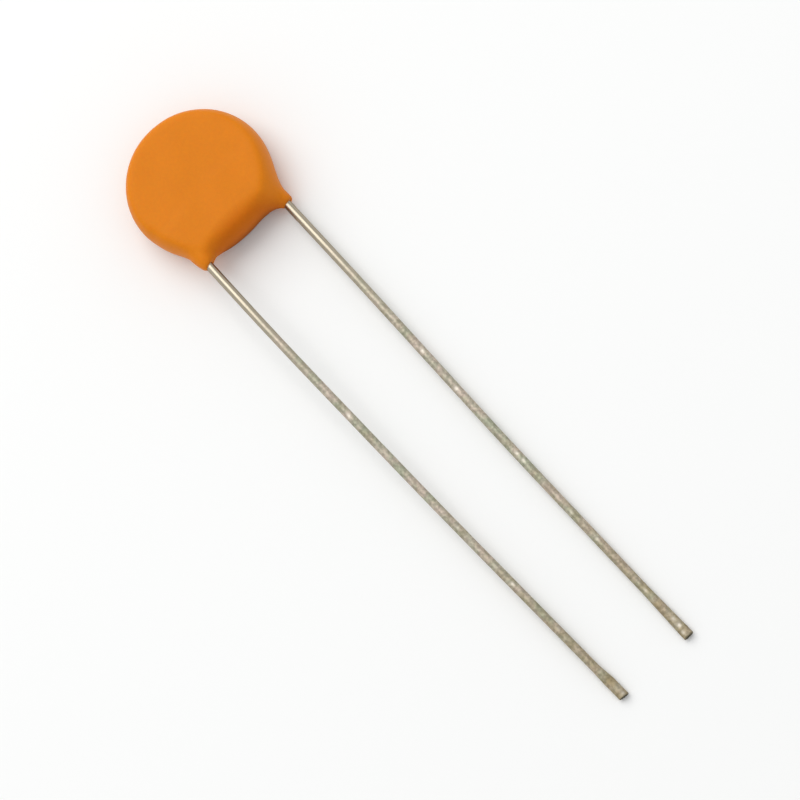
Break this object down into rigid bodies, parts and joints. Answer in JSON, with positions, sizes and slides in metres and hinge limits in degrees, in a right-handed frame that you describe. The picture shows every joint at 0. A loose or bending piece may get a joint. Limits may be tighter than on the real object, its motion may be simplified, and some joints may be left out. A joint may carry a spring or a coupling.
{
  "type": "ceramic disc capacitor",
  "caption": "Round orange dipped ceramic disc capacitor with straight radial wire leads, lying flat on its back face with the lead tips resting on the surface.",
  "frame": {"origin": "centre of the flat back face of the dipped coat, on the axis of the ceramic plate", "axes": "+X runs along the leads towards their tips, +Z leaves the front face, +Y is across the leads towards the back lead's side"},
  "size_m": [0.0385, 0.0078, 0.0025],
  "materials": {
    "epoxy_coat": "satin orange dipped epoxy",
    "dielectric": "fired, unglazed",
    "silver_paste": "matt fired silver",
    "solder": "bright solder",
    "tinned_wire": "tinned, slightly tarnished"
  },
  "bodies": {
    "root": {"resin_coat": "epoxy_coat", "ceramic_disc": "dielectric", "front_electrode": "silver_paste", "back_electrode": "silver_paste", "front_solder": "solder", "back_solder": "solder", "front_lead": "tinned_wire", "back_lead": "tinned_wire"}
  },
  "joints": []
}
